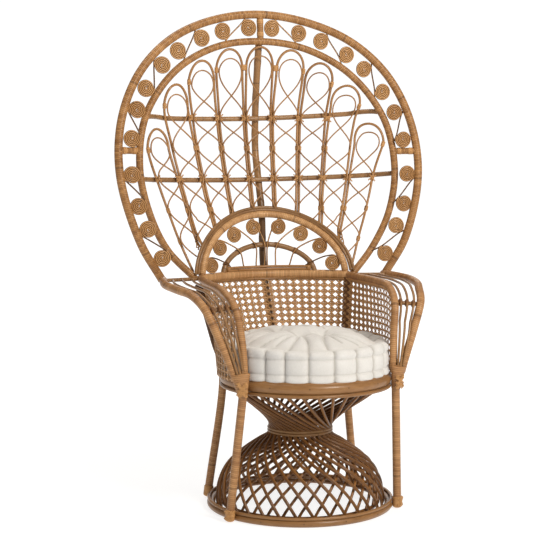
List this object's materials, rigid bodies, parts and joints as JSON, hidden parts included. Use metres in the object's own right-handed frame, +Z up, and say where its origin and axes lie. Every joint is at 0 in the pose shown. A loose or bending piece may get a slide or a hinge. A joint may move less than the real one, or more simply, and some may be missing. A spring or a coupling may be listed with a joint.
{
  "type": "peacock chair",
  "caption": "Rattan armchair with a wide fanned openwork back, flared arms, a twisted rod pedestal and a loose round tufted cushion.",
  "frame": {"origin": "bottom centre of the chair's bounding box, on the floor", "axes": "+Z up, the sitter faces -Y, +X is to the right of someone who looks at the chair's front"},
  "size_m": [1.003, 0.7584, 1.5005],
  "materials": {
    "wrapped_rattan": "poles bound with flat peel strips, satin",
    "rattan_pole": "bent pole with a clear satin finish",
    "rattan_core": "round core rod and split cane, satin",
    "cushion_cotton": "plain woven cotton, matt"
  },
  "bodies": {
    "chair": {"arm_inner_rail_left": "wrapped_rattan", "arm_inner_rail_right": "wrapped_rattan", "arm_outer_rail_left": "wrapped_rattan", "arm_outer_rail_right": "wrapped_rattan", "arm_spindles_left": "rattan_pole", "arm_spindles_right": "rattan_pole", "back_post": "rattan_pole", "back_sill": "wrapped_rattan", "base_ring": "rattan_pole", "base_top_rod": "rattan_pole", "cane_wall": "rattan_core", "cross_rail_lower": "rattan_pole", "cross_rail_upper": "rattan_pole", "fan_arch_1": "wrapped_rattan", "fan_arch_2": "wrapped_rattan", "fan_arch_3": "wrapped_rattan", "fan_arch_4": "wrapped_rattan", "fan_arch_5": "wrapped_rattan", "fan_arch_6": "wrapped_rattan", "fan_arch_7": "wrapped_rattan", "fan_arch_8": "wrapped_rattan", "fan_arch_9": "wrapped_rattan", "fan_loop_1": "rattan_core", "fan_loop_2": "rattan_core", "fan_loop_3": "rattan_core", "fan_loop_4": "rattan_core", "fan_loop_5": "rattan_core", "fan_loop_6": "rattan_core", "fan_loop_7": "rattan_core", "fan_loop_8": "rattan_core", "fan_loop_9": "rattan_core", "front_leg_left": "wrapped_rattan", "front_leg_right": "wrapped_rattan", "half_round_fretwork": "rattan_core", "half_round_rim": "wrapped_rattan", "hoop_scroll_left_1": "rattan_core", "hoop_scroll_left_2": "rattan_core", "hoop_scroll_left_3": "rattan_core", "hoop_scroll_left_4": "rattan_core", "hoop_scroll_left_5": "rattan_core", "hoop_scroll_left_6": "rattan_core", "hoop_scroll_right_1": "rattan_core", "hoop_scroll_right_2": "rattan_core", "hoop_scroll_right_3": "rattan_core", "hoop_scroll_right_4": "rattan_core", "hoop_scroll_right_5": "rattan_core", "hoop_scroll_right_6": "rattan_core", "hoop_spacer_left": "wrapped_rattan", "hoop_spacer_right": "wrapped_rattan", "hoop_spacer_top": "wrapped_rattan", "inner_hoop": "wrapped_rattan", "inner_twist": "rattan_pole", "outer_hoop": "wrapped_rattan", "outer_twist": "rattan_pole", "rear_leg_left": "wrapped_rattan", "rear_leg_right": "wrapped_rattan", "seat_deck": "wrapped_rattan", "seat_ring": "rattan_pole", "seat_trim_rod": "rattan_pole"},
    "cushion": {"cushion": "cushion_cotton"}
  },
  "joints": [
    {"name": "cushion_lift", "type": "slide", "parent": "chair", "child": "cushion", "axis": [0, 0, 1], "range_m": [0, 0.3]}
  ]
}
